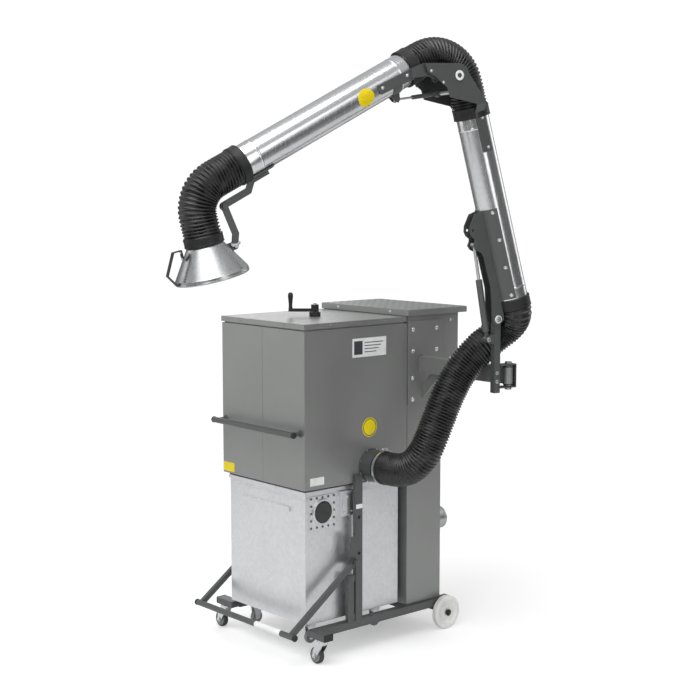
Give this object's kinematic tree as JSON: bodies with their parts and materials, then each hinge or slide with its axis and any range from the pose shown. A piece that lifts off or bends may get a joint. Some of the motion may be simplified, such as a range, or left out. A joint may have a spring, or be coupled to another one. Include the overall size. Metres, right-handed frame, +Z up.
{
  "type": "mobile fume extractor",
  "caption": "Mobile fume extractor: filter cabinet over a lift-out dust bin, fan tower behind, and a jointed extraction arm with hoses and a hood.",
  "frame": {"origin": "on the floor, under the middle of the whole machine's box", "axes": "+Z up, front towards -Y, extraction arm on the +X side"},
  "size_m": [1.359, 1.843, 2.7118],
  "materials": {
    "grey_paint": "semi-gloss powder coat",
    "dark_paint": "satin powder coat",
    "aluminium_sheet": "bright rolled",
    "galvanised_sheet": "bright zinc",
    "zinc_plate": "bright plated",
    "black_plastic": "satin",
    "hose_fabric": "ribbed, coated fabric",
    "grey_rubber": "matte",
    "white_nylon": "satin",
    "filter_media": "pleated felt"
  },
  "bodies": {
    "root": {"chassis_frame": "dark_paint", "cabinet_shell": "grey_paint", "front_panel_left": "grey_paint", "front_panel_right": "grey_paint", "lid": "grey_paint", "bin_gasket": "grey_rubber", "push_bar": "dark_paint", "filter_cartridge": "filter_media", "crank_bearing": "black_plastic", "tower_lower": "grey_paint", "fan_housing": "grey_paint", "motor_box": "grey_paint", "tower_cover": "grey_paint", "fan_motor": "dark_paint", "exhaust_spigot": "aluminium_sheet", "inlet_collar": "dark_paint", "hose_clamp": "zinc_plate", "lower_hose_a": "hose_fabric", "console_plate": "grey_paint", "console_beam": "grey_paint", "lift_post_left": "dark_paint", "lift_post_right": "dark_paint"},
    "arm_base": {"swivel_post": "dark_paint", "swivel_pin": "zinc_plate", "lower_hose_b": "hose_fabric"},
    "lower_arm": {"lower_tube": "aluminium_sheet", "shoulder_saddle": "dark_paint", "elbow_plate_left": "dark_paint", "elbow_plate_right": "dark_paint", "elbow_cross_pin": "zinc_plate", "elbow_hose": "hose_fabric"},
    "upper_arm": {"upper_tube": "aluminium_sheet", "elbow_yoke": "dark_paint", "hood_bracket": "dark_paint", "hood_hose_a": "hose_fabric"},
    "hood_arm": {"hood_link": "dark_paint", "hood_hose_b": "hose_fabric"},
    "hood": {"hood_cone": "aluminium_sheet", "hood_handle": "black_plastic", "wing_screw": "zinc_plate"},
    "shoulder_strut_barrel": {"shoulder_strut_tube": "dark_paint"},
    "shoulder_strut_piston": {"shoulder_strut_rod": "zinc_plate"},
    "elbow_strut_barrel": {"elbow_strut_tube": "dark_paint"},
    "elbow_strut_piston": {"elbow_strut_rod": "zinc_plate"},
    "crank": {"crank_arm": "black_plastic"},
    "crank_knob": {"crank_grip": "black_plastic"},
    "lever": {"lift_lever": "dark_paint"},
    "bin": {"waste_bin": "galvanised_sheet", "sight_window": "black_plastic"},
    "fan_wheel": {"impeller": "galvanised_sheet"},
    "caster_left": {"caster_fork_left": "zinc_plate"},
    "caster_roller_left": {"caster_wheel_left": "grey_rubber"},
    "rear_roller_left": {"rear_wheel_left": "white_nylon"},
    "bin_roller_front_left": {"bin_wheel_front_left": "grey_rubber"},
    "bin_roller_rear_left": {"bin_wheel_rear_left": "grey_rubber"},
    "caster_right": {"caster_fork_right": "zinc_plate"},
    "caster_roller_right": {"caster_wheel_right": "grey_rubber"},
    "rear_roller_right": {"rear_wheel_right": "white_nylon"},
    "bin_roller_front_right": {"bin_wheel_front_right": "grey_rubber"},
    "bin_roller_rear_right": {"bin_wheel_rear_right": "grey_rubber"}
  },
  "joints": [
    {"name": "arm_swivel", "type": "hinge", "parent": "root", "child": "arm_base", "pos_m": [0.59996, 0.62847, 1.284], "axis": [0, 0, 1], "range_deg": [-38, 38], "deforming": ["lower_hose_a"]},
    {"name": "shoulder", "type": "hinge", "parent": "arm_base", "child": "lower_arm", "pos_m": [0.58457, 0.55609, 1.534], "axis": [0.9781, -0.2079, 0], "range_deg": [-20, 40], "deforming": ["lower_hose_b"]},
    {"name": "elbow", "type": "hinge", "parent": "lower_arm", "child": "upper_arm", "pos_m": [0.52965, 0.29769, 2.55042], "axis": [0.9781, -0.2079, 0], "range_deg": [-35, 21], "deforming": ["elbow_hose"]},
    {"name": "hood_link_hinge", "type": "hinge", "parent": "upper_arm", "child": "hood_arm", "pos_m": [0.32024, -0.6875, 2.02281], "axis": [0.9781, -0.2079, 0], "range_deg": [-15, 25], "deforming": ["hood_hose_a"]},
    {"name": "hood_tilt", "type": "hinge", "parent": "hood_arm", "child": "hood", "pos_m": [0.32905, -0.64603, 1.87202], "axis": [0.9781, -0.2079, 0], "range_deg": [-25, 25], "deforming": ["hood_hose_b"]},
    {"name": "shoulder_strut_pivot", "type": "hinge", "parent": "arm_base", "child": "shoulder_strut_barrel", "pos_m": [0.57615, 0.51647, 1.447], "axis": [0.9781, -0.2079, 0], "range_deg": [-17.6, 34.2]},
    {"name": "shoulder_strut_slide", "type": "slide", "parent": "shoulder_strut_barrel", "child": "shoulder_strut_piston", "axis": [-0.0363, -0.1706, 0.9847], "range_m": [-0.0458, 0.0234]},
    {"name": "elbow_strut_pivot", "type": "hinge", "parent": "lower_arm", "child": "elbow_strut_barrel", "pos_m": [0.52244, 0.26376, 2.4815], "axis": [0.9781, -0.2079, 0], "range_deg": [-41.6, 25.36]},
    {"name": "elbow_strut_slide", "type": "slide", "parent": "elbow_strut_barrel", "child": "elbow_strut_piston", "axis": [-0.2056, -0.9671, -0.15], "range_m": [-0.02326, 0.0381]},
    {"name": "crank_turn", "type": "hinge", "parent": "root", "child": "crank", "pos_m": [-0.23404, 0.22747, 1.54], "axis": [0, 0, 1], "continuous": true},
    {"name": "crank_grip_spin", "type": "hinge", "parent": "crank", "child": "crank_knob", "pos_m": [-0.30826, 0.14358, 1.56], "axis": [0, 0, 1], "continuous": true},
    {"name": "lift", "type": "hinge", "parent": "root", "child": "lever", "pos_m": [-0.24804, 0.18747, 0.425], "axis": [-1, 0, 0], "range_deg": [0, 55]},
    {"name": "bin_lift", "type": "slide", "parent": "root", "child": "bin", "axis": [0, 0, 1], "range_m": [-0.0497, 0]},
    {"name": "fan_spin", "type": "hinge", "parent": "root", "child": "fan_wheel", "pos_m": [-0.24804, 0.65947, 1.26], "axis": [0, 0, 1], "continuous": true},
    {"name": "caster_swivel_left", "type": "hinge", "parent": "root", "child": "caster_left", "pos_m": [-0.60604, -0.02053, 0.11], "axis": [0, 0, 1], "continuous": true},
    {"name": "caster_roll_left", "type": "hinge", "parent": "caster_left", "child": "caster_roller_left", "pos_m": [-0.64204, -0.02053, 0.0375], "axis": [0, 1, 0], "continuous": true},
    {"name": "rear_roll_left", "type": "hinge", "parent": "root", "child": "rear_roller_left", "pos_m": [-0.58804, 0.76747, 0.08], "axis": [1, 0, 0], "continuous": true},
    {"name": "bin_roll_front_left", "type": "hinge", "parent": "bin", "child": "bin_roller_front_left", "pos_m": [-0.44804, 0.03947, 0.08], "axis": [1, 0, 0], "continuous": true},
    {"name": "bin_roll_rear_left", "type": "hinge", "parent": "bin", "child": "bin_roller_rear_left", "pos_m": [-0.44804, 0.42947, 0.08], "axis": [1, 0, 0], "continuous": true},
    {"name": "caster_swivel_right", "type": "hinge", "parent": "root", "child": "caster_right", "pos_m": [0.10996, -0.02053, 0.11], "axis": [0, 0, 1], "continuous": true},
    {"name": "caster_roll_right", "type": "hinge", "parent": "caster_right", "child": "caster_roller_right", "pos_m": [0.07396, -0.02053, 0.0375], "axis": [0, 1, 0], "continuous": true},
    {"name": "rear_roll_right", "type": "hinge", "parent": "root", "child": "rear_roller_right", "pos_m": [0.09196, 0.76747, 0.08], "axis": [1, 0, 0], "continuous": true},
    {"name": "bin_roll_front_right", "type": "hinge", "parent": "bin", "child": "bin_roller_front_right", "pos_m": [-0.04804, 0.03947, 0.08], "axis": [1, 0, 0], "continuous": true},
    {"name": "bin_roll_rear_right", "type": "hinge", "parent": "bin", "child": "bin_roller_rear_right", "pos_m": [-0.04804, 0.42947, 0.08], "axis": [1, 0, 0], "continuous": true}
  ],
  "couplings": [
    {"joint": "shoulder_strut_pivot", "follows": "shoulder", "ratio": 0.83},
    {"joint": "shoulder_strut_slide", "follows": "shoulder", "m_per_rad": -0.06417},
    {"joint": "elbow_strut_pivot", "follows": "elbow", "ratio": 1.16},
    {"joint": "elbow_strut_slide", "follows": "elbow", "m_per_rad": -0.06073},
    {"joint": "bin_lift", "follows": "lift", "m_per_rad": -0.05157}
  ]
}
